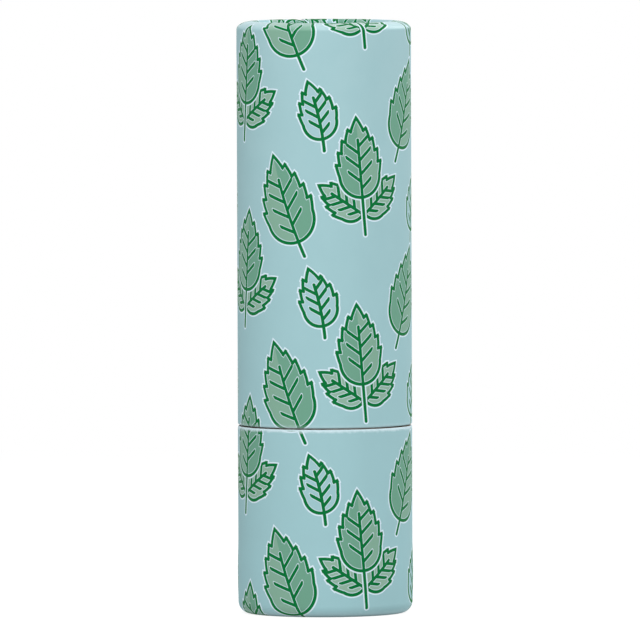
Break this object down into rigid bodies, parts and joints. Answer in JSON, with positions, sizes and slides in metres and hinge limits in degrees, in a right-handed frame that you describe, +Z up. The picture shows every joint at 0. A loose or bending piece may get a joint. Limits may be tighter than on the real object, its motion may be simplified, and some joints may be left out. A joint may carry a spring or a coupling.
{
  "type": "lip balm stick",
  "caption": "Twist-up lip balm in a round printed paper tube: a long pull-off cap over a short base that holds a screw-lift mechanism.",
  "frame": {"origin": "centre of the foot's lowest ring, where the stick stands", "axes": "+Z up along the tube's axis; -Y is the side that the picture shows; the lugs lie along X"},
  "size_m": [0.0208, 0.0208, 0.07],
  "materials": {
    "printed_paper": "satin",
    "disc_paper": "matte",
    "board": "matte",
    "liner_paper": "matte",
    "white_plastic": "satin",
    "soft_ring": "satin",
    "shell_metal": "satin",
    "balm_wax": "satin"
  },
  "bodies": {
    "base": {"base_wrap": "printed_paper", "base_tube": "board", "base_disc": "disc_paper", "base_insert": "white_plastic", "guide_sleeve": "white_plastic", "friction_ring": "soft_ring"},
    "shell": {"shell": "shell_metal", "cam_sleeve": "white_plastic"},
    "carrier": {"balm_cup": "white_plastic", "balm": "balm_wax"},
    "cap": {"cap_wrap": "printed_paper", "cap_tube": "board", "cap_disc": "disc_paper", "cap_liner": "liner_paper"}
  },
  "joints": [
    {"name": "shell_twist", "type": "hinge", "parent": "base", "child": "shell", "pos_m": [0, 0, 0.022], "axis": [0, 0, -1], "range_deg": [0, 450]},
    {"name": "balm_lift", "type": "slide", "parent": "base", "child": "carrier", "axis": [0, 0, 1], "range_m": [0, 0.024]},
    {"name": "cap_pull", "type": "slide", "parent": "shell", "child": "cap", "axis": [0, 0, 1], "range_m": [0, 0.055]}
  ],
  "couplings": [
    {"joint": "balm_lift", "follows": "shell_twist", "m_per_rad": 0.0030558}
  ]
}
